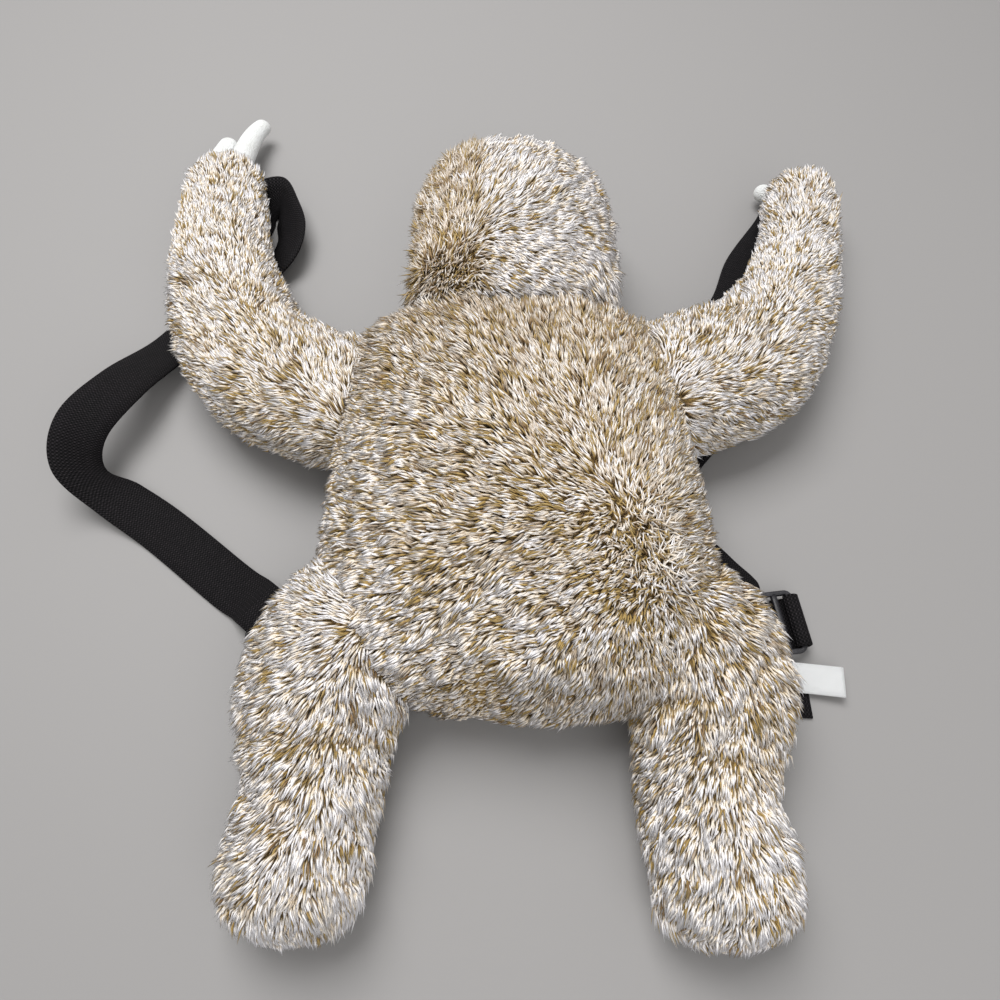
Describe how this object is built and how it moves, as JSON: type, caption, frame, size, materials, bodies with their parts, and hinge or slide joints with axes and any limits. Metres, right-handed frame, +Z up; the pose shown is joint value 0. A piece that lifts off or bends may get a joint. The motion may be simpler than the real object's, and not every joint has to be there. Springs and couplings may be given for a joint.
{
  "type": "plush animal backpack",
  "caption": "Plush sloth backpack lying face down: long-pile furry body with a zipped pocket, stuffed head, arms and legs, felt claws and adjustable webbing straps.",
  "frame": {"origin": "centre of the footprint, at the floor that it lies on", "axes": "+Y towards the head, +X towards the picture's right, +Z up out of its furry back"},
  "size_m": [0.4292, 0.481, 0.0853],
  "materials": {
    "plush": "long tip-dyed pile, cream tips over ochre and brown roots",
    "felt": "smooth white felt",
    "webbing": "ribbed near-black webbing",
    "slider": "satin moulded",
    "label": "plain white woven tape",
    "zip": "plain tape"
  },
  "bodies": {
    "root": {"torso": "plush", "head": "plush", "arm_left": "plush", "arm_right": "plush", "leg_left": "plush", "leg_right": "plush", "claw_left_inner": "felt", "claw_left_outer": "felt", "claw_right": "felt", "strap_left": "webbing", "strap_right": "webbing", "hip_tab_left": "webbing", "hip_tab_right": "webbing", "strap_tail_right": "webbing", "slider_left": "slider", "slider_right": "slider", "care_label": "label", "zip_closure": "zip"}
  },
  "joints": []
}
